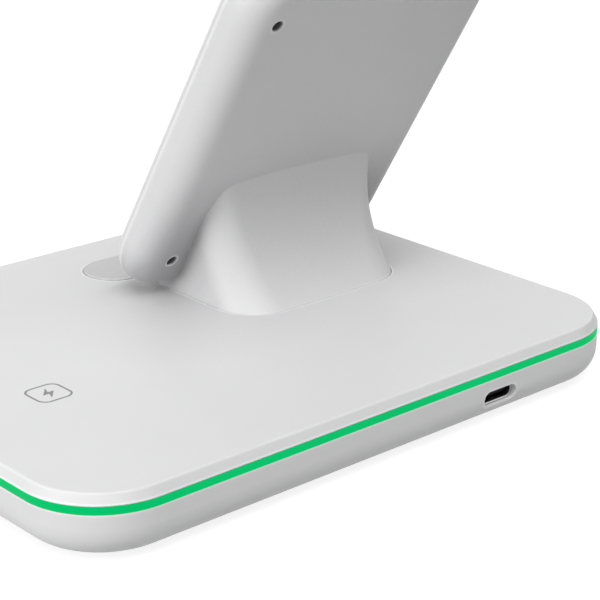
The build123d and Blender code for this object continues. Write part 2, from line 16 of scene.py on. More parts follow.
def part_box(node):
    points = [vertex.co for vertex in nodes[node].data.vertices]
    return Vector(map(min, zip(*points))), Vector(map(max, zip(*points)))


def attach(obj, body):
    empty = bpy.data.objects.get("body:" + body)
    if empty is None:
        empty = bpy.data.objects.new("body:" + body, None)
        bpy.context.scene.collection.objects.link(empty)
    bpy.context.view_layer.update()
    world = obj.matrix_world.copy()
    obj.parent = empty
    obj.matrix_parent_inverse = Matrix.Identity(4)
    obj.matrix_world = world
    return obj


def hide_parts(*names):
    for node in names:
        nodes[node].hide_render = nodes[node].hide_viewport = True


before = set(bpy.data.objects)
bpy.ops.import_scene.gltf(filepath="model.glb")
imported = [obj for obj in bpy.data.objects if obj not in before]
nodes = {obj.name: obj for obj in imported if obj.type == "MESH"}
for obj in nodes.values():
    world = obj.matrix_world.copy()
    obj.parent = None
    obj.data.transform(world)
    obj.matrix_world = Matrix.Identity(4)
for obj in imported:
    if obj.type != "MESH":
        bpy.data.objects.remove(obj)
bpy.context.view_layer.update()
MM = 0.001

# %% [markdown]
# ## Camera
# The photograph looks down at the base from its rear right corner, close in, so that the panel's top and
# the base's front right corner leave the picture. Guessing such a view by eye takes long. Here the view
# was worked out from the straight edges of the base, and is written down as the camera's three directions.

# %% Set the camera
LENS_MM = 112.018
CAMERA_PLACE = (0.22435, 0.28162, 0.151067)
CAMERA_RIGHT = Vector((-0.745487, 0.666517, 0.002166))
CAMERA_UP = Vector((-0.229994, -0.260292, 0.937737))
CAMERA_BACK = Vector((0.625581, 0.698573, 0.347339))
NEAREST = 0.01

view = bpy.data.cameras.new("photo_view")
view.lens = LENS_MM
view.clip_start = NEAREST
camera = bpy.data.objects.new("photo_view", view)
turn = Matrix((CAMERA_RIGHT, CAMERA_UP, CAMERA_BACK)).transposed()
camera.matrix_world = Matrix.Translation(CAMERA_PLACE) @ turn.to_4x4()
bpy.context.scene.collection.objects.link(camera)
bpy.context.scene.camera = camera
print("camera", round(Vector(CAMERA_PLACE).length, 3), "m from the base's middle")

# %% [markdown]
# ## Studio
# The background is plain white, and the object casts only a soft shadow. A floor that is lit until it
# clips would need lamps that burn out the white plastic too. So the floor and the world show white to the
# camera and to mirror rays by themselves, while the rays that light the object meet a plain pale floor.
# Beyond the base's left side that floor turns dark grey, like a black card laid down in a studio: less
# light comes back from there, and the panel's back grows darker towards that side, as in the photograph.

# %% White surroundings
bpy.context.scene.view_settings.view_transform = "Standard"
ROOM_LIGHT = 0.06


def seen_directly(tree):
    """1 for rays from the camera, a mirror or through glass, else 0."""
    path = tree.nodes.new("ShaderNodeLightPath")
    either = path.outputs["Is Camera Ray"]
    for kind in ("Is Glossy Ray", "Is Transmission Ray"):
        larger = tree.nodes.new("ShaderNodeMath")
        larger.operation = "MAXIMUM"
        tree.links.new(either, larger.inputs[0])
        tree.links.new(path.outputs[kind], larger.inputs[1])
        either = larger.outputs[0]
    return either


def white_room():
    world = bpy.data.worlds.new("white_room")
    world.use_nodes = True
    tree = world.node_tree
    lit = tree.nodes["Background"]
    lit.inputs["Strength"].default_value = ROOM_LIGHT
    lit.inputs["Color"].default_value = (1, 1, 1, 1)
    shown = tree.nodes.new("ShaderNodeBackground")
    shown.inputs["Color"].default_value = (1, 1, 1, 1)
    pick = tree.nodes.new("ShaderNodeMixShader")
    tree.links.new(seen_directly(tree), pick.inputs[0])
    tree.links.new(lit.outputs[0], pick.inputs[1])
    tree.links.new(shown.outputs[0], pick.inputs[2])
    tree.links.new(pick.outputs[0], tree.nodes["World Output"].inputs["Surface"])
    return world


bpy.context.scene.world = white_room()
print("room light", ROOM_LIGHT)

# %% Pale floor that keeps the shadow
FLOOR_HALF = 4.0
FLOOR_CELLS = 8
FLOOR_WHITE = 0.57
FLOOR_GREY = 0.05
FADE_FROM = -0.07
FADE_TO = -0.15
FLOOR_ROUGH = 0.9
SHADOW_SHARE = 0.28
FLOOR_GLOW = 0.85


def pale_floor_finish():
    finish = bpy.data.materials.new("pale_floor")
    finish.use_nodes = True
    tree = finish.node_tree
    plain = tree.nodes["Principled BSDF"]
    plain.inputs["Roughness"].default_value = FLOOR_ROUGH
    place = tree.nodes.new("ShaderNodeTexCoord")
    parts = tree.nodes.new("ShaderNodeSeparateXYZ")
    tree.links.new(place.outputs["Object"], parts.inputs["Vector"])
    fade = tree.nodes.new("ShaderNodeMapRange")
    fade.inputs["From Min"].default_value = FADE_TO
    fade.inputs["From Max"].default_value = FADE_FROM
    fade.inputs["To Min"].default_value = FLOOR_GREY
    fade.inputs["To Max"].default_value = FLOOR_WHITE
    tree.links.new(parts.outputs["X"], fade.inputs["Value"])
    tree.links.new(fade.outputs["Result"], plain.inputs["Base Color"])
    shaded = tree.nodes.new("ShaderNodeBsdfDiffuse")
    shaded.inputs["Color"].default_value = (SHADOW_SHARE, SHADOW_SHARE, SHADOW_SHARE, 1)
    glow = tree.nodes.new("ShaderNodeEmission")
    glow.inputs["Strength"].default_value = FLOOR_GLOW
    both = tree.nodes.new("ShaderNodeAddShader")
    tree.links.new(shaded.outputs[0], both.inputs[0])
    tree.links.new(glow.outputs[0], both.inputs[1])
    pick = tree.nodes.new("ShaderNodeMixShader")
    tree.links.new(seen_directly(tree), pick.inputs[0])
    tree.links.new(plain.outputs[0], pick.inputs[1])
    tree.links.new(both.outputs[0], pick.inputs[2])
    tree.links.new(pick.outputs[0], tree.nodes["Material Output"].inputs["Surface"])
    return finish


floor_mesh = bpy.data.meshes.new("floor")
floor_bm = bmesh.new()
bmesh.ops.create_grid(floor_bm, x_segments=FLOOR_CELLS, y_segments=FLOOR_CELLS, size=FLOOR_HALF)
floor_bm.to_mesh(floor_mesh)
floor_bm.free()
floor_mesh.materials.append(pale_floor_finish())
floor = bpy.data.objects.new("floor", floor_mesh)
bpy.context.scene.collection.objects.link(floor)
print("floor", 2 * FLOOR_HALF, "m square")

# %% [markdown]
# ## Lamps
# In the photograph the faces towards the base's right side and the faces that look up are bright, and
# those that look to the rear are a clear grey. The lamps were chosen by rendering the charger under one
# lamp at a time and adding those pictures up until the sum came near the photograph. Their powers were
# then set one by one. Each is a large square, so no shadow has a hard edge. Together they light the plate
# so that a colour comes out about as it is written.

# %% Hang the soft lamps
LAMP_DISTANCE = 1.4
LAMP_SIDE = 0.8
AIM = Vector((0, 0, 0.04))
LAMPS = {  # degrees round from the base's right side, degrees up, watts
    "right_softbox": (0, 25, 6.4),
    "rear_overhead_softbox": (108, 62, 7.4),
    "rear_right_softbox": (50, 52, 7.9),
    "overhead_softbox": (330, 78, 2.3),
    "low_right_fill": (350, 8, 4.8),
    "front_fill": (258, 35, 1.6),
}


def soft_lamp(name, around, up, power):
    lamp = bpy.data.lights.new(name, "AREA")
    lamp.size = LAMP_SIDE
    lamp.energy = power
    turned, raised = math.radians(around), math.radians(up)
    level = math.cos(raised)
    away = Vector((level * math.cos(turned), level * math.sin(turned), math.sin(raised)))
    hung = bpy.data.objects.new(name, lamp)
    hung.location = AIM + LAMP_DISTANCE * away
    hung.rotation_euler = (-away).to_track_quat("-Z", "Y").to_euler()
    bpy.context.scene.collection.objects.link(hung)


for lamp_name, (around, up, power) in LAMPS.items():
    soft_lamp(lamp_name, around, up, power)
print("lamps", {lamp_name: lamp[2] for lamp_name, lamp in LAMPS.items()})

# %% [markdown]
# ## Helpers for finishes
# A finish here is a node tree on the main shader. Each tree starts from object coordinates, which are
# metres on every piece, so a grain size can be written as a real length. Noise drives colour, roughness
# and bump, because even clean moulded plastic is never perfectly even.

# %% Build up finishes from noise
RAYS_A_POINT = 3


def start_finish(name):
    """A new finish, and its tree, shader and coordinates in metres."""
    finish = bpy.data.materials.new(name)
    finish.use_nodes = True
    tree = finish.node_tree
    place = tree.nodes.new("ShaderNodeTexCoord")
    return finish, tree, tree.nodes["Principled BSDF"], place.outputs["Object"]


def grain(tree, place, size, detail=2.0):
    """Noise from 0 to 1 with marks of about that size."""
    noise = tree.nodes.new("ShaderNodeTexNoise")
    noise.inputs["Scale"].default_value = 1 / size
    noise.inputs["Detail"].default_value = detail
    tree.links.new(place, noise.inputs["Vector"])
    return noise.outputs["Fac"]


def ranged(tree, value, low, high, start=0.3, end=0.7):
    """The value stretched to run from low to high."""
    stretch = tree.nodes.new("ShaderNodeMapRange")
    stretch.inputs["From Min"].default_value = start
    stretch.inputs["From Max"].default_value = end
    stretch.inputs["To Min"].default_value = low
    stretch.inputs["To Max"].default_value = high
    tree.links.new(value, stretch.inputs["Value"])
    return stretch.outputs["Result"]


def blended(tree, factor, first, second):
    """A colour between two; each is a colour or a socket."""
    mix = tree.nodes.new("ShaderNodeMix")
    mix.data_type = "RGBA"
    tree.links.new(factor, mix.inputs["Factor"])
    for socket, colour in ((mix.inputs[6], first), (mix.inputs[7], second)):
        if isinstance(colour, tuple):
            socket.default_value = (*colour, 1)
        else:
            tree.links.new(colour, socket)
    return mix.outputs[2]


def dented(tree, shader, height, depth):
    """Bump of that real depth on the shader."""
    bump = tree.nodes.new("ShaderNodeBump")
    bump.inputs["Distance"].default_value = depth
    bump.inputs["Strength"].default_value = 1.0
    tree.links.new(height, bump.inputs["Height"])
    tree.links.new(bump.outputs["Normal"], shader.inputs["Normal"])


def edge_mask(tree, reach, gain):
    """1 along outer edges and 0 on flats: near an edge, rays into the piece soon meet its other face."""
    inward = tree.nodes.new("ShaderNodeAmbientOcclusion")
    inward.inside = True
    inward.only_local = True
    inward.samples = RAYS_A_POINT
    inward.inputs["Distance"].default_value = reach
    return ranged(tree, inward.outputs["AO"], 1.0, 0.0, 1 - gain, 1.0)


def wear(node_name, finish):
    """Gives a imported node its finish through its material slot."""
    nodes[node_name].material_slots[0].material = finish


print("finish helpers ready")

# %% [markdown]
# ## White plastic
# The shells are moulded in white plastic from tools with a fine spark-eroded grain. It looks matt from
# afar and a little silky up close. The grain is a bump of some thousandths of a millimetre, and broader,
# very weak noise shifts the tone as real mouldings do. Outer edges are paler, partly from wear and partly
# as a painted highlight. Painted shade darkens the colour in the fold between panel and neck, under the
# panel, round the stand's foot and near the table. It is worked out from how close other faces are, so it
# stays on the object from every side.

# %% Satin white for the shells
PLASTIC_LIGHT = (0.735, 0.735, 0.74)
PLASTIC_SHADE = (0.715, 0.715, 0.722)
# paler outer edges: partly wear, partly a painted highlight
PLASTIC_WORN_AND_HIGHLIT = (0.85, 0.85, 0.852)
WORN_AND_HIGHLIT_REACH = 0.0006
WORN_AND_HIGHLIT_GAIN = 0.3
# painted shade: colours blended into the base colour in folds, under overhangs and near other pieces
FOLD_SHADE = (0.14, 0.14, 0.144)
PLATE_SHADE = (0.57, 0.57, 0.576)
OVERHANG_SHADE = (0.43, 0.43, 0.437)
BORE_R = 0.0016
SHADE_LEFT_IN_BORES = 0.35
SPARK_GRAIN = 0.00022
SPARK_DEPTH = 0.000006
FLOW_MARKS = 0.03
PLASTIC_ROUGH = (0.40, 0.50)
PLASTIC_GLOSS = 0.4
FOLD_FULL, FOLD_NONE = 0.35, 0.95
FOOT_FULL, FOOT_NONE = 0.25, 0.95
BORE_DEEP, BORE_NONE = 0.2, 0.45
FULL_LEAN = -0.45


def openness(tree, reach, own=True):
    """1 in the open, towards 0 where the piece itself, or any piece, is near on all sides."""
    hidden = tree.nodes.new("ShaderNodeAmbientOcclusion")
    hidden.only_local = own
    hidden.samples = RAYS_A_POINT
    hidden.inputs["Distance"].default_value = reach
    return hidden.outputs["AO"]


def folds(tree, reach, own=True):
    """1 deep in a fold, 0 in the open."""
    return ranged(tree, openness(tree, reach, own), 1.0, 0.0, FOLD_FULL, FOLD_NONE)


def overhang(tree):
    """1 on faces that lean over, 0 on those that look sideways or up."""
    facing = tree.nodes.new("ShaderNodeNewGeometry")
    parts = tree.nodes.new("ShaderNodeSeparateXYZ")
    tree.links.new(facing.outputs["Normal"], parts.inputs["Vector"])
    return ranged(tree, parts.outputs["Z"], 1.0, 0.0, FULL_LEAN, 0.0)


def times(tree, first, second):
    product = tree.nodes.new("ShaderNodeMath")
    product.operation = "MULTIPLY"
    tree.links.new(first, product.inputs[0])
    tree.links.new(second, product.inputs[1])
    return product.outputs[0]


def satin_white_plastic(name, fold_reach=None, foot_reach=None):
    """Satin white, with painted shade in folds and beside other pieces within the given reaches."""
    finish, tree, shader, place = start_finish(name)
    flow = ranged(tree, grain(tree, place, FLOW_MARKS, 3), 0.0, 1.0)
    moulded = blended(tree, flow, PLASTIC_SHADE, PLASTIC_LIGHT)
    # painted shade in the fold and on faces that lean over, weaker inside screw bores
    if fold_reach:
        lean = overhang(tree)
        near = openness(tree, BORE_R)
        outside = ranged(tree, near, SHADE_LEFT_IN_BORES, 1.0, BORE_DEEP, BORE_NONE)
        upright = ranged(tree, lean, 1.0, 0.0, 0.0, 1.0)
        beside = times(tree, folds(tree, fold_reach), upright)
        under = times(tree, folds(tree, fold_reach, False), lean)
        moulded = blended(tree, times(tree, beside, outside), moulded, FOLD_SHADE)
        moulded = blended(tree, times(tree, under, outside), moulded, OVERHANG_SHADE)
    # painted shade near other pieces and near the table
    if foot_reach:
        close = ranged(tree, openness(tree, foot_reach, False), 1.0, 0.0, FOOT_FULL, FOOT_NONE)
        moulded = blended(tree, close, moulded, PLATE_SHADE)
    # paler outer edges, partly wear and partly a painted highlight
    worn_and_highlit = edge_mask(tree, WORN_AND_HIGHLIT_REACH, WORN_AND_HIGHLIT_GAIN)
    tree.links.new(blended(tree, worn_and_highlit, moulded, PLASTIC_WORN_AND_HIGHLIT), shader.inputs["Base Color"])
    sparks = grain(tree, place, SPARK_GRAIN, 3)
    tree.links.new(ranged(tree, sparks, *PLASTIC_ROUGH), shader.inputs["Roughness"])
    dented(tree, shader, sparks, SPARK_DEPTH)
    shader.inputs["Specular IOR Level"].default_value = PLASTIC_GLOSS
    return finish


# reaches of the painted shade
STAND_FOLD = 0.03
PLATE_FOOT = 0.036
TRAY_FOOT = 0.005
wear("stand_back_shell", satin_white_plastic("satin_white_stand_painted_shade", fold_reach=STAND_FOLD))
wear("base_top_cover", satin_white_plastic("satin_white_plate_painted_shade", foot_reach=PLATE_FOOT))
wear("base_lower_shell", satin_white_plastic("satin_white_tray_painted_shade", foot_reach=TRAY_FOOT))
wear("panel_front_cover", satin_white_plastic("satin_white_front"))
print("satin white on the stand, plate, tray and front cover")

# %% [markdown]
# ## Light strip
# The strip round the base is a clear ring that is lit green from inside by a row of small lights. Seen
# from outside it is one even, bright green. A lamp inside a clear solid would take long to render, so the
# ring glows by itself, in weak soft pools about as wide as the lights are apart.

# %% Lit green for the strip
STRIP_GREEN = (0.0, 0.14, 0.04)
STRIP_GLOW = (0.0, 0.445, 0.122)
STRIP_GLOW_WEAK = (0.0, 0.425, 0.116)
LIGHT_SPACING = 0.021
HAZE_SIZE = 0.0008
HAZE_DEPTH = 0.000003
STRIP_ROUGH = (0.45, 0.55)
STRIP_GLOSS = 0.04


def lit_green_strip():
    finish, tree, shader, place = start_finish("lit_green_strip")
    pools = ranged(tree, grain(tree, place, LIGHT_SPACING, 1), 0.0, 1.0)
    tree.links.new(blended(tree, pools, STRIP_GLOW_WEAK, STRIP_GLOW), shader.inputs["Emission Color"])
    shader.inputs["Emission Strength"].default_value = 1.0
    shader.inputs["Base Color"].default_value = (*STRIP_GREEN, 1)
    haze = grain(tree, place, HAZE_SIZE)
    tree.links.new(ranged(tree, haze, *STRIP_ROUGH), shader.inputs["Roughness"])
    dented(tree, shader, haze, HAZE_DEPTH)
    shader.inputs["Specular IOR Level"].default_value = STRIP_GLOSS
    return finish


wear("light_guide_ring", lit_green_strip())

# %% [markdown]
# ## Soft pads and feet
# The phone's lower edge stands on a long silicone pad, the watch lies in a dished one, and the base
# stands on rubber feet. Silicone has a dull, slightly velvety surface that catches dust, so these
# finishes are rougher than the shells and have a weak sheen.

# %% Silicone and rubber
DUST_SIZE = 0.0012
PORE_SIZE = 0.00018
PORE_DEPTH = 0.000008
SOFT_GLOSS = 0.3
SHEEN_ROUGH = 0.5
ROUGH_SPREAD = 0.08


def soft_finish(name, dark, light, rough, sheen):
    finish, tree, shader, place = start_finish(name)
    dust = ranged(tree, grain(tree, place, DUST_SIZE, 5), 0.0, 1.0)
    tree.links.new(blended(tree, dust, dark, light), shader.inputs["Base Color"])
    pores = grain(tree, place, PORE_SIZE, 4)
    roughness = ranged(tree, pores, rough - ROUGH_SPREAD, rough + ROUGH_SPREAD)
    tree.links.new(roughness, shader.inputs["Roughness"])
    dented(tree, shader, pores, PORE_DEPTH)
    shader.inputs["Specular IOR Level"].default_value = SOFT_GLOSS
    shader.inputs["Sheen Weight"].default_value = sheen
    shader.inputs["Sheen Roughness"].default_value = SHEEN_ROUGH
    return finish


pad_silicone = soft_finish(
    "pad_silicone", dark=(0.565, 0.565, 0.57), light=(0.595, 0.595, 0.60), rough=0.62, sheen=0.04,
)
foot_rubber = soft_finish(
    "foot_rubber", dark=(0.50, 0.50, 0.51), light=(0.58, 0.58, 0.585), rough=0.75, sheen=0.05,
)
wear("rest_pad", pad_silicone)
wear("watch_pad", pad_silicone)
wear("rubber_feet", foot_rubber)
print("silicone pads and rubber feet dressed")

# %% [markdown]
# ## Helpers for pieces
# The fine pieces are drawn with points in code. A solid with several copies, such as a set of screws, is
# taken apart into its separate solids first, so that each new piece lands exactly where the CAD has one.

# %% Make and place fine pieces
SAME_POINT = 0.000001


def add_piece(name, bm, finish, smooth_angle=None):
    """A new piece from finished mesh code, which rides on the charger."""
    bmesh.ops.recalc_face_normals(bm, faces=bm.faces)
    mesh = bpy.data.meshes.new(name)
    bm.to_mesh(mesh)
    bm.free()
    mesh.materials.append(finish)
    piece = bpy.data.objects.new(name, mesh)
    bpy.context.scene.collection.objects.link(piece)
    if smooth_angle is not None:
        mesh.shade_smooth()
        mesh.set_sharp_from_angle(angle=math.radians(smooth_angle))
    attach(piece, "root")
    return piece


def separate_solids(node_name):
    """The points of each separate solid of a node."""
    bm = bmesh.new()
    bm.from_mesh(nodes[node_name].data)
    bmesh.ops.remove_doubles(bm, verts=bm.verts, dist=SAME_POINT)
    left = set(bm.verts)
    solids = []
    while left:
        reach = [left.pop()]
        solid = []
        while reach:
            vert = reach.pop()
            solid.append(vert.co.copy())
            for edge in vert.link_edges:
                other = edge.other_vert(vert)
                if other in left:
                    left.remove(other)
                    reach.append(other)
        solids.append(solid)
    bm.free()
    return solids


def box_of(points):
    """Lowest and highest corner of some points."""
    low = Vector((min(p[k] for p in points) for k in range(3)))
    high = Vector((max(p[k] for p in points) for k in range(3)))
    return low, high


def ring_of(bm, points):
    return [bm.verts.new(point) for point in points]


def skin(bm, first, second):
    """Quads between two closed rings of the same length."""
    count = len(first)
    for i in range(count):
        j = (i + 1) % count
        bm.faces.new((first[i], first[j], second[j], second[i]))


print("piece helpers ready")

# %% [markdown]
# ## Charging mark
# The earbud spot is printed with a small rounded square and a bolt, in grey ink. A drawn texture would
# blur up close. As thin closed solids of a few hundredths of a millimetre the mark has sharp edges and
# lies on the plate as real pad print does.

# %% Print the charging mark
MARK_MIDDLE = (0.04535, 0.01142)
MARK_HALF = 0.00362
MARK_CORNER_R = 0.0019
MARK_LINE = 0.00042
INK_T = 0.00003
INK_DARK, INK_PALE = (0.20, 0.20, 0.205), (0.27, 0.27, 0.275)
INK_SPECKS = 0.00012
INK_DEPTH = 0.000004
INK_ROUGH = (0.45, 0.6)
BOLT = ((0.73, 2.25), (-1.42, -0.36), (-0.10, -0.36), (-0.73, -2.25), (1.42, 0.36), (0.10, 0.36))


def rounded_outline(half_x, half_y, corner_r, steps=10):
    points = []
    for turn_start, sx, sy in ((0, 1, 1), (90, -1, 1), (180, -1, -1), (270, 1, -1)):
        for step in range(steps + 1):
            angle = math.radians(turn_start + 90 * step / steps)
            x = sx * (half_x - corner_r) + corner_r * math.cos(angle)
            y = sy * (half_y - corner_r) + corner_r * math.sin(angle)
            points.append((x, y))
    return points


def printed(x, y, z):
    return Vector((MARK_MIDDLE[0] + x, MARK_MIDDLE[1] + y, z))


def charging_mark():
    plate_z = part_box("base_top_cover")[1].z
    bm = bmesh.new()
    outer_half = MARK_HALF + MARK_LINE / 2
    inner_half = MARK_HALF - MARK_LINE / 2
    outer = rounded_outline(outer_half, outer_half, MARK_CORNER_R + MARK_LINE / 2)
    inner = rounded_outline(inner_half, inner_half, MARK_CORNER_R - MARK_LINE / 2)
    loops = [
        ring_of(bm, [printed(x, y, z) for x, y in outline])
        for outline, z in (
            (outer, plate_z), (outer, plate_z + INK_T), (inner, plate_z + INK_T), (inner, plate_z),
        )
    ]
    for i in range(4):
        skin(bm, loops[i], loops[(i + 1) % 4])
    under = ring_of(bm, [printed(x * MM, y * MM, plate_z) for x, y in BOLT])
    over = ring_of(bm, [printed(x * MM, y * MM, plate_z + INK_T) for x, y in BOLT])
    skin(bm, under, over)
    bm.faces.new(over)
    bm.faces.new(list(reversed(under)))
    return bm


def grey_ink():
    finish, tree, shader, place = start_finish("grey_ink")
    cover = ranged(tree, grain(tree, place, INK_SPECKS, 4), 0.0, 1.0)
    tree.links.new(blended(tree, cover, INK_DARK, INK_PALE), shader.inputs["Base Color"])
    tree.links.new(ranged(tree, cover, *INK_ROUGH, 0.0, 1.0), shader.inputs["Roughness"])
    dented(tree, shader, cover, INK_DEPTH)
    return finish


add_piece("charging_mark", charging_mark(), grey_ink())

# %% [markdown]
# ## Screws
# The solids stand for the screws as plain shanks with round heads. Real ones have a cross in the head and
# a thread. The thread is one turned surface whose radius rises and falls along a spiral, which is lighter
# than a separate ridge and leaves no seams. The cross is filled round and drawn in with a taper.

# %% Cut the crosses and threads
SCREW_SIDES = 24
THREAD_PITCH = 0.0006
ROWS_A_TURN = 6
LEAST_ROWS = 4
FADE_ROWS = 3
# as shares of the shank's radius
THREAD_DEPTH = 0.16
TIP_R = 0.8
# as shares of the head's radius
CROSS_ARM = 0.62
CROSS_WIDTH = 0.20
RIM_MOST = 0.2
# as shares of the head's height
CROSS_DEPTH = 0.7
RIM_ROUND = 0.25
# as shares of the rim, and of the cross at the head's face
RIM_STEP = 0.3
PIT_ARM = 0.72
PIT_WIDTH = 0.6


def circle_points(radius, z, sides=SCREW_SIDES):
    return [
        Vector((radius * math.cos(math.tau * i / sides), radius * math.sin(math.tau * i / sides), z))
        for i in range(sides)
    ]


def cross_outline(arm, half, z):
    corners = []
    for quarter in range(4):
        spin = Matrix.Rotation(math.radians(90 * quarter), 3, "Z")
        for x, y in ((arm, -half), (arm, half), (half, half)):
            corners.append(spin @ Vector((x, y, z)))
    return corners


def loop_edges(bm, loop):
    return [bm.edges.new((loop[i], loop[(i + 1) % len(loop)])) for i in range(len(loop))]


def cross_head(bm, head_r, head_h, shank_r):
    """Rings of a head with a tapered cross in its face at z = 0; the last ring is the shank's top."""
    rim_r = min(RIM_ROUND * head_h, RIM_MOST * head_r)
    arm, half = CROSS_ARM * head_r, CROSS_WIDTH * head_r / 2
    face = ring_of(bm, circle_points(head_r - rim_r, 0))
    cross = ring_of(bm, cross_outline(arm, half, 0))
    bmesh.ops.triangle_fill(bm, use_beauty=True, edges=loop_edges(bm, face) + loop_edges(bm, cross))
    pit = ring_of(bm, cross_outline(PIT_ARM * arm, PIT_WIDTH * half, CROSS_DEPTH * head_h))
    skin(bm, cross, pit)
    bm.faces.new(pit)
    rings = [cross, pit, face]
    profile = (
        (head_r - RIM_STEP * rim_r, RIM_STEP * rim_r), (head_r, rim_r), (head_r, head_h), (shank_r, head_h),
    )
    for radius, z in profile:
        rings.append(ring_of(bm, circle_points(radius, z)))
        skin(bm, rings[-2], rings[-1])
    return rings


def thread_row(z, shank_r, fade):
    """Points round the shank at that height, on a spiral ridge."""
    points = []
    for i in range(SCREW_SIDES):
        phase = (z / THREAD_PITCH - i / SCREW_SIDES) % 1.0
        ridge = abs(2 * phase - 1)
        radius = shank_r * (1 - THREAD_DEPTH * (1 - ridge) * fade)
        angle = math.tau * i / SCREW_SIDES
        points.append(Vector((radius * math.cos(angle), radius * math.sin(angle), z)))
    return points


def threaded_screw(bm, place, head_r, head_h, shank_r, length):
    """One screw: head at z = 0, tip at z = length, then placed."""
    rings = cross_head(bm, head_r, head_h, shank_r)
    rows = max(LEAST_ROWS, round((length - head_h) / THREAD_PITCH * ROWS_A_TURN))
    for row in range(1, rows + 1):
        z = head_h + (length - head_h) * row / rows
        fade = min(1.0, row / FADE_ROWS, (rows - row) / FADE_ROWS)
        points = thread_row(z, shank_r, fade) if row < rows else circle_points(TIP_R * shank_r, z)
        rings.append(ring_of(bm, points))
        skin(bm, rings[-2], rings[-1])
    bm.faces.new(rings[-1])
    for ring in rings:
        for vert in ring:
            vert.co = place @ vert.co


print("screw thread with a pitch of", THREAD_PITCH / MM, "mm")

# %% Plate the screws and set them in place
HEAD_SHARE = 0.98
TIP_BAND = 0.00005
SCREW_SMOOTH = 30
PLATING_DARK, PLATING_PALE = (0.30, 0.30, 0.31), (0.40, 0.40, 0.41)
PLATING_SIZE = 0.0006
PLATING_ROUGH = (0.28, 0.42)
PLATING_DEPTH = 0.000004
EDGE_STEEL = (0.62, 0.62, 0.63)
EDGE_REACH = 0.00012
EDGE_GAIN = 0.3


def screw_set(node_name, axis, finish):
    """Cross-head screws in place of a node of plain ones, whose heads lie at the low end of the axis."""
    along = Vector(axis).normalized()
    bm = bmesh.new()
    spin = along.to_track_quat("Z", "Y").to_matrix()
    for solid in separate_solids(node_name):
        flat = [spin.inverted() @ point for point in solid]
        low, high = box_of(flat)
        middle = (low + high) / 2
        head_r = (high.x - low.x) / 2
        reach = [(math.hypot(p.x - middle.x, p.y - middle.y), p.z) for p in flat]
        head_h = max(z for r, z in reach if r > HEAD_SHARE * head_r) - low.z
        shank_r = max(r for r, z in reach if z > high.z - TIP_BAND)
        foot = spin @ Vector((middle.x, middle.y, low.z))
        place = Matrix.Translation(foot) @ spin.to_4x4()
        threaded_screw(bm, place, head_r, head_h, shank_r, high.z - low.z)
    piece = add_piece(node_name + "_cut", bm, finish, SCREW_SMOOTH)
    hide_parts(node_name)
    print(node_name, "faces", len(piece.data.polygons))


def dark_screw_steel():
    finish, tree, shader, place = start_finish("dark_screw_steel")
    plating = ranged(tree, grain(tree, place, PLATING_SIZE, 4), 0.0, 1.0)
    plain = blended(tree, plating, PLATING_DARK, PLATING_PALE)
    bright = edge_mask(tree, EDGE_REACH, EDGE_GAIN)
    tree.links.new(blended(tree, bright, plain, EDGE_STEEL), shader.inputs["Base Color"])
    tree.links.new(ranged(tree, plating, *PLATING_ROUGH, 0.0, 1.0), shader.inputs["Roughness"])
    shader.inputs["Metallic"].default_value = 1.0
    dented(tree, shader, plating, PLATING_DEPTH)
    return finish


PANEL_LEAN = math.radians(31.6)
PANEL_FACING = (0, -math.cos(PANEL_LEAN), math.sin(PANEL_LEAN))
screw_steel = dark_screw_steel()
screw_set("panel_screws", PANEL_FACING, screw_steel)
screw_set("base_screws", (0, 0, 1), screw_steel)
screw_set("neck_screws", (0, 0, 1), screw_steel)
screw_set("board_screws", (0, 0, -1), screw_steel)

# %% [markdown]
# ## Charging inlet
# The inlet is a folded steel shell round a black tongue, which carries a row of gold contacts on each
# face. Shell and tongue are solids already. The contacts could be painted on by the tongue's finish, but
# real ones stand a little proud and catch the light, so each is a thin strip with a drawn-in crown. Inside,
# where the shell folds round itself and little light comes in, the steel's colour is darkened by painted
# shade.

# %% Steel, black plastic and gold
STEEL_DARK, STEEL_BRIGHT = (0.80, 0.80, 0.81), (0.88, 0.88, 0.89)
# painted shade, blended in where the shell folds round itself
STEEL_SHADE = (0.02, 0.02, 0.021)
STEEL_FOLD = 0.004
STEEL_STRETCH = (0.15, 1.0, 1.0)
STEEL_LINES = 0.00015
STEEL_ROUGH = (0.26, 0.40)
STEEL_DEPTH = 0.000003
SPECK_SIZE = 0.0003
SPECK_SPREAD = 0.07
SPECK_DEPTH = 0.000005
TARNISH_SPREAD = 0.08
TARNISH_DEPTH = 0.000006


def socket_steel_finish():
    finish, tree, shader, place = start_finish("socket_steel")
    stretch = tree.nodes.new("ShaderNodeMapping")
    stretch.inputs["Scale"].default_value = STEEL_STRETCH
    tree.links.new(place, stretch.inputs["Vector"])
    drawn = ranged(tree, grain(tree, stretch.outputs["Vector"], STEEL_LINES, 3), 0.0, 1.0)
    steel = blended(tree, drawn, STEEL_DARK, STEEL_BRIGHT)
    # painted shade in the shell's folds
    tree.links.new(blended(tree, folds(tree, STEEL_FOLD), steel, STEEL_SHADE), shader.inputs["Base Color"])
    tree.links.new(ranged(tree, drawn, *STEEL_ROUGH, 0.0, 1.0), shader.inputs["Roughness"])
    shader.inputs["Metallic"].default_value = 1.0
    dented(tree, shader, drawn, STEEL_DEPTH)
    return finish


def moulding(name, dark, light, rough, gloss=0.5):
    finish, tree, shader, place = start_finish(name)
    speck = ranged(tree, grain(tree, place, SPECK_SIZE, 4), 0.0, 1.0)
    tree.links.new(blended(tree, speck, dark, light), shader.inputs["Base Color"])
    roughness = ranged(tree, speck, rough - SPECK_SPREAD, rough + SPECK_SPREAD, 0.0, 1.0)
    tree.links.new(roughness, shader.inputs["Roughness"])
    dented(tree, shader, speck, SPECK_DEPTH)
    shader.inputs["Specular IOR Level"].default_value = gloss
    return finish


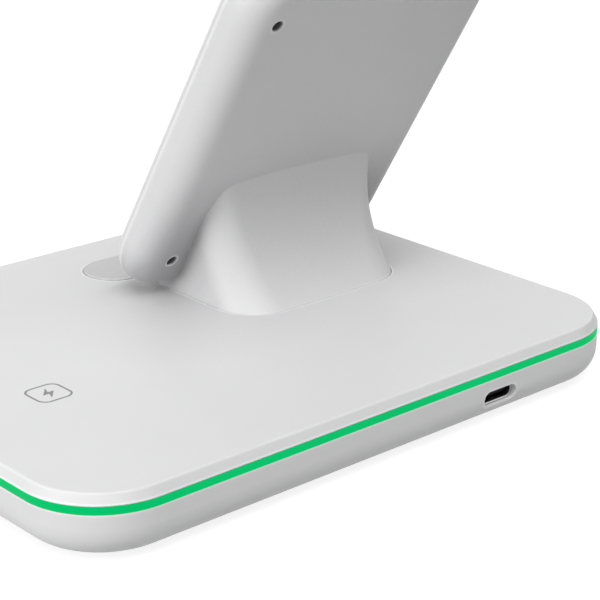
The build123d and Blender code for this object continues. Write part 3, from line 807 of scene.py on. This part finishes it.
def plain_metal(name, dark, light, rough, size):
    finish, tree, shader, place = start_finish(name)
    tarnish = ranged(tree, grain(tree, place, size, 4), 0.0, 1.0)
    tree.links.new(blended(tree, tarnish, dark, light), shader.inputs["Base Color"])
    roughness = ranged(tree, tarnish, rough - TARNISH_SPREAD, rough + TARNISH_SPREAD, 0.0, 1.0)
    tree.links.new(roughness, shader.inputs["Roughness"])
    shader.inputs["Metallic"].default_value = 1.0
    dented(tree, shader, tarnish, TARNISH_DEPTH)
    return finish


tongue_black = moulding(
    "tongue_black", dark=(0.006, 0.006, 0.006), light=(0.012, 0.012, 0.012), rough=0.6, gloss=0.15,
)
wear("usb_socket_shell", socket_steel_finish())
wear("usb_tongue", tongue_black)
print("inlet dressed")

# %% Lay the contacts on the tongue
CONTACTS_A_FACE = 12
CONTACT_PITCH = 0.0005
CONTACT_HALF_W = 0.00013
CONTACT_L = 0.0034
CONTACT_T = 0.00004
CONTACT_CROWN = 0.00004
CONTACT_END = 0.0004
TONGUE_HALF_T = 0.00035


def stacked(bm, outlines):
    """A closed solid from rings of points, with flat ends."""
    rings = [ring_of(bm, outline) for outline in outlines]
    for i in range(len(rings) - 1):
        skin(bm, rings[i], rings[i + 1])
    bm.faces.new(rings[0])
    bm.faces.new(rings[-1])


def contact_strips():
    low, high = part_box("usb_tongue")
    middle = (low + high) / 2
    end_y = high.y - CONTACT_END - CONTACT_L / 2
    bm = bmesh.new()
    for face in (-1, 1):
        for i in range(CONTACTS_A_FACE):
            x = middle.x + (i - (CONTACTS_A_FACE - 1) / 2) * CONTACT_PITCH
            z = middle.z + face * TONGUE_HALF_T
            outlines = []
            for inset, rise in ((0, 0), (0, CONTACT_T / 2), (CONTACT_CROWN, CONTACT_T)):
                half_w, half_l = CONTACT_HALF_W - inset, CONTACT_L / 2 - inset
                outlines.append([
                    (x + u * half_w, end_y + v * half_l, z + face * rise)
                    for u, v in ((-1, -1), (1, -1), (1, 1), (-1, 1))
                ])
            stacked(bm, outlines)
    return bm


contact_gold = plain_metal(
    "contact_gold", dark=(0.60, 0.42, 0.16), light=(0.72, 0.52, 0.22), rough=0.30, size=0.0004,
)
contacts = add_piece("tongue_contacts", contact_strips(), contact_gold)
print("contacts", 2 * CONTACTS_A_FACE, "faces", len(contacts.data.polygons))

# %% [markdown]
# ## Coils
# A flat coil lies under each charging spot, wound in one layer from stranded copper wire. In the solids a
# coil is a plain ring. Grooves in a finish would show its turns only from afar, so the wire is drawn as
# one long sweep: a spiral from the rim to the hole, whose section is a bundle of strands that twists.

# %% Wind the coils
STRANDS = 7
POINTS_A_STRAND = 4
STRAND_GROOVE = 0.12
STEPS_A_TURN = 96
TWIST_A_STEP = 0.08
WIRE_SMOOTH = 40


def wire_section(wire_r, twist):
    """Outline of a bundle of strands, as points out from the wire's middle and up."""
    points = []
    for i in range(STRANDS * POINTS_A_STRAND):
        angle = math.tau * i / (STRANDS * POINTS_A_STRAND)
        crown = abs(math.sin(STRANDS * (angle - twist) / 2))
        radius = wire_r * (1 - STRAND_GROOVE * (1 - crown))
        points.append((radius * math.cos(angle), radius * math.sin(angle)))
    return points


def wound_coil(node_name, axis, finish):
    """A flat spiral of stranded wire in place of a plain ring."""
    spin = Vector(axis).normalized().to_track_quat("Z", "Y").to_matrix()
    flat = [spin.inverted() @ vert.co for vert in nodes[node_name].data.vertices]
    low, high = box_of(flat)
    middle = (low + high) / 2
    outer = (high.x - low.x) / 2
    inner = min(math.hypot(p.x - middle.x, p.y - middle.y) for p in flat)
    wire_r = (high.z - low.z) / 2
    run = outer - inner - 2 * wire_r
    turns = int(run / (2 * wire_r))
    steps = turns * STEPS_A_TURN
    outlines = []
    for step in range(steps + 1):
        angle = math.tau * step / STEPS_A_TURN
        out = outer - wire_r - run * step / steps
        outlines.append([
            spin @ (middle + Vector(((out + u) * math.cos(angle), (out + u) * math.sin(angle), v)))
            for u, v in wire_section(wire_r, TWIST_A_STEP * step)
        ])
    bm = bmesh.new()
    stacked(bm, outlines)
    piece = add_piece(node_name + "_wound", bm, finish, WIRE_SMOOTH)
    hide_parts(node_name)
    print(node_name, "turns", turns, "of wire", round(2 * wire_r / MM, 2), "mm thick")


copper = plain_metal(
    "enamelled_copper", dark=(0.52, 0.22, 0.10), light=(0.72, 0.36, 0.19), rough=0.35, size=0.0006,
)
wound_coil("phone_coil", PANEL_FACING, copper)
wound_coil("earbud_coil", (0, 0, 1), copper)
wound_coil("watch_coil", (0, 0, 1), copper)

# %% [markdown]
# ## Chips and chokes on the board
# The driver board carries flat chips, whose pins bend down to the board on four sides, and taller chokes
# in square pressed cases. Each is a plain block in the solids. A chip's body is stacked from outlines, a
# little smaller at top and bottom, because it is moulded in two halves; its pins are bent strips.

# %% Mould the chips and bend their pins
CHOKE_FROM_H = 0.0015
PIN_REACH = 0.0006
PIN_PITCH = 0.00065
PIN_HALF_W = 0.00014
PIN_T = 0.00012
CHIP_DRAFT = 0.0001
CHOKE_CORNER_R = 0.0009
CHOKE_LEAST_R = 0.0002
CHOKE_SLOPE = 0.0004
CHIP_CORNER_R = 0.00015
CORNER_STEPS = 5
CHIP_SMOOTH = 35


def level_outline(middle, half, corner_r, z):
    return [(middle.x + x, middle.y + y, z) for x, y in rounded_outline(half, half, corner_r, CORNER_STEPS)]


def chip_body(bm, low, high):
    middle, half = (low + high) / 2, (high.x - low.x) / 2 - PIN_REACH
    levels = ((low.z + PIN_T, CHIP_DRAFT), (middle.z, 0), (high.z, CHIP_DRAFT))
    stacked(bm, [level_outline(middle, half - inset, CHIP_CORNER_R, z) for z, inset in levels])


def choke_body(bm, low, high):
    middle, half = (low + high) / 2, (high.x - low.x) / 2
    levels = (
        (low.z, 0), (high.z - CHOKE_SLOPE, 0), (high.z, CHOKE_SLOPE), (high.z, 2.5 * CHOKE_SLOPE),
        (high.z - 0.3 * CHOKE_SLOPE, 3 * CHOKE_SLOPE),
    )
    outlines = []
    for z, inset in levels:
        corner_r = max(CHOKE_CORNER_R - inset, CHOKE_LEAST_R)
        outlines.append(level_outline(middle, half - inset, corner_r, z))
    stacked(bm, outlines)


def chip_pins(bm, low, high):
    middle, half = (low + high) / 2, (high.x - low.x) / 2 - PIN_REACH
    mid_h = middle.z - low.z
    bend = (
        (-PIN_T, mid_h + PIN_T / 2), (0.3 * PIN_REACH, mid_h + PIN_T / 2), (0.55 * PIN_REACH, PIN_T),
        (PIN_REACH, PIN_T), (PIN_REACH, 0), (0.4 * PIN_REACH, 0), (0.15 * PIN_REACH, mid_h - PIN_T / 2),
        (-PIN_T, mid_h - PIN_T / 2),
    )
    count = int((2 * half - PIN_REACH) / PIN_PITCH) + 1
    for quarter in range(4):
        turned = Matrix.Rotation(math.radians(90 * quarter), 3, "Z")
        for i in range(count):
            across = (i - (count - 1) / 2) * PIN_PITCH
            stacked(bm, [
                [
                    Vector((middle.x, middle.y, low.z)) + turned @ Vector((half + out, across + side, up))
                    for out, up in bend
                ]
                for side in (-PIN_HALF_W, PIN_HALF_W)
            ])


def board_parts():
    bodies, pins = bmesh.new(), bmesh.new()
    for solid in separate_solids("board_chips"):
        low, high = box_of(solid)
        if high.z - low.z > CHOKE_FROM_H:
            choke_body(bodies, low, high)
        else:
            chip_body(bodies, low, high)
            chip_pins(pins, low, high)
    return bodies, pins


chip_epoxy = moulding("chip_epoxy", dark=(0.022, 0.022, 0.024), light=(0.04, 0.04, 0.042), rough=0.55)
tinned = plain_metal(
    "tinned_pins", dark=(0.62, 0.62, 0.63), light=(0.74, 0.74, 0.75), rough=0.3, size=0.0004,
)
bodies, pins = board_parts()
chips = add_piece("board_chips_moulded", bodies, chip_epoxy, CHIP_SMOOTH)
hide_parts("board_chips")
chip_legs = add_piece("board_chip_pins", pins, tinned)
print("chip faces", len(chips.data.polygons), "pin faces", len(chip_legs.data.polygons))

# %% [markdown]
# ## Small lights behind the strip
# A row of small lights on a flexible board shines out into the strip. Each has a white case with a shallow
# window full of clear resin on the side that looks outwards. One glowing block would do for light, but a
# real case has a rim, so the case is stacked from outlines that step into the window.

# %% Case the small lights
CASE_EDGE = 0.00005
WINDOW_RIM = 0.0002
WINDOW_DEPTH = 0.0002
WINDOW_TAPER = 1.3
RESIN_GAP = 0.00002
CASE_CORNER_R = 0.0001
CASE_STEPS = 4
CASE_SMOOTH = 35
RESIN_SMOOTH = 50


def light_outline(low, high, inset, depth):
    """Outline across a light, a depth below the face that looks outwards from the base."""
    middle, half = (low + high) / 2, (high - low) / 2
    out = 0 if half.x < half.y else 1
    sign = 1 if middle[out] > 0 else -1
    along = 1 - out
    points = []
    for u, v in rounded_outline(half[along] - inset, half.z - inset, CASE_CORNER_R, CASE_STEPS):
        point = middle.copy()
        point[along] += u
        point[out] += sign * (half[out] - depth)
        point.z += v
        points.append(point)
    return points


def small_lights():
    cases, windows = bmesh.new(), bmesh.new()
    for solid in separate_solids("led_chips"):
        low, high = box_of(solid)
        whole = min(high.x - low.x, high.y - low.y)
        steps = (
            (CASE_EDGE, whole), (0, whole - CASE_EDGE), (0, CASE_EDGE), (CASE_EDGE, 0), (WINDOW_RIM, 0),
            (WINDOW_TAPER * WINDOW_RIM, WINDOW_DEPTH),
        )
        stacked(cases, [light_outline(low, high, inset, depth) for inset, depth in steps])
        fill = WINDOW_TAPER * WINDOW_RIM + RESIN_GAP
        crown = (
            (fill, WINDOW_DEPTH - RESIN_GAP), (fill, 0.5 * WINDOW_DEPTH), (1.5 * fill, 0.3 * WINDOW_DEPTH),
        )
        stacked(windows, [light_outline(low, high, inset, depth) for inset, depth in crown])
    return cases, windows


case_white = moulding("light_case_white", dark=(0.70, 0.70, 0.69), light=(0.78, 0.78, 0.77), rough=0.4)
window_resin = moulding("light_window_resin", dark=(0.42, 0.66, 0.40), light=(0.50, 0.74, 0.47), rough=0.2)
cases, windows = small_lights()
lights = add_piece("led_cases", cases, case_white, CASE_SMOOTH)
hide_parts("led_chips")
light_windows = add_piece("led_windows", windows, window_resin, RESIN_SMOOTH)
print("light cases", len(lights.data.polygons), "faces, windows", len(light_windows.data.polygons))

# %% [markdown]
# ## Finishes for the rest of the inside
# Ferrite sheets lie behind the coils, wires run from the board, and a plain carrier holds the phone's coil.
# Their solids are right as they are. The ferrite is pressed powder that cracks into small plates, and the
# boards have tracks under a green lacquer. Both patterns are drawn in the finish, as they are too shallow
# for solids.

# %% Ferrite, board lacquer and the plain pieces
CRACK_SIZE = 0.0025
CRACK_SHARE = 0.05
CRACK_DEPTH = 0.00002
FERRITE_CRACK, FERRITE_PLATE = (0.02, 0.02, 0.021), (0.075, 0.075, 0.08)
FERRITE_GRAIN = 0.0003
FERRITE_ROUGH = (0.52, 0.68)
TRACK_PITCH = 0.0011
WAVE_LENGTH = 0.314  # of Blender's wave texture at scale 1
TRACK_EDGES = (0.45, 0.55)
ROUTED_SIZE = 0.006
ROUTED_EDGES = (0.48, 0.52)
TRACK_DEPTH = 0.00002
LACQUER_BARE, LACQUER_TRACK = (0.010, 0.085, 0.038), (0.03, 0.17, 0.08)
LACQUER_GRAIN = 0.0004
LACQUER_ROUGH = (0.28, 0.42)


def ferrite_sheet():
    finish, tree, shader, place = start_finish("ferrite_sheet")
    cells = tree.nodes.new("ShaderNodeTexVoronoi")
    cells.feature = "DISTANCE_TO_EDGE"
    cells.inputs["Scale"].default_value = 1 / CRACK_SIZE
    tree.links.new(place, cells.inputs["Vector"])
    plates = ranged(tree, cells.outputs["Distance"], 0.0, 1.0, 0.0, CRACK_SHARE)
    tree.links.new(blended(tree, plates, FERRITE_CRACK, FERRITE_PLATE), shader.inputs["Base Color"])
    powder = grain(tree, place, FERRITE_GRAIN, 4)
    tree.links.new(ranged(tree, powder, *FERRITE_ROUGH), shader.inputs["Roughness"])
    dented(tree, shader, plates, CRACK_DEPTH)
    return finish


def board_lacquer():
    finish, tree, shader, place = start_finish("board_lacquer")
    tracks = tree.nodes.new("ShaderNodeTexWave")
    tracks.bands_direction = "X"
    tracks.inputs["Scale"].default_value = WAVE_LENGTH / TRACK_PITCH
    tracks.inputs["Distortion"].default_value = 0.0
    tree.links.new(place, tracks.inputs["Vector"])
    copper_under = ranged(tree, tracks.outputs["Fac"], 0.0, 1.0, *TRACK_EDGES)
    routed = ranged(tree, grain(tree, place, ROUTED_SIZE, 0), 0.0, 1.0, *ROUTED_EDGES)
    lines = times(tree, copper_under, routed)
    tree.links.new(blended(tree, lines, LACQUER_BARE, LACQUER_TRACK), shader.inputs["Base Color"])
    flow = grain(tree, place, LACQUER_GRAIN, 3)
    tree.links.new(ranged(tree, flow, *LACQUER_ROUGH), shader.inputs["Roughness"])
    dented(tree, shader, lines, TRACK_DEPTH)
    return finish


ferrite = ferrite_sheet()
board_green = board_lacquer()
magnet = plain_metal(
    "nickel_plate", dark=(0.60, 0.60, 0.61), light=(0.70, 0.70, 0.72), rough=0.25, size=0.002,
)
jacket = moulding("wire_jacket", dark=(0.05, 0.05, 0.052), light=(0.09, 0.09, 0.092), rough=0.5)
carrier_plastic = moulding("carrier_plastic", dark=(0.66, 0.66, 0.65), light=(0.74, 0.74, 0.73), rough=0.5)
INSIDE = {
    "watch_magnet": magnet, "phone_ferrite": ferrite, "earbud_ferrite": ferrite, "watch_ferrite": ferrite,
    "stand_harness": jacket, "base_leads": jacket, "coil_carrier": carrier_plastic,
    "main_board": board_green, "led_flex_board": board_green,
}
for inside_name, inside_finish in INSIDE.items():
    wear(inside_name, inside_finish)
print("inner pieces dressed:", len(INSIDE))
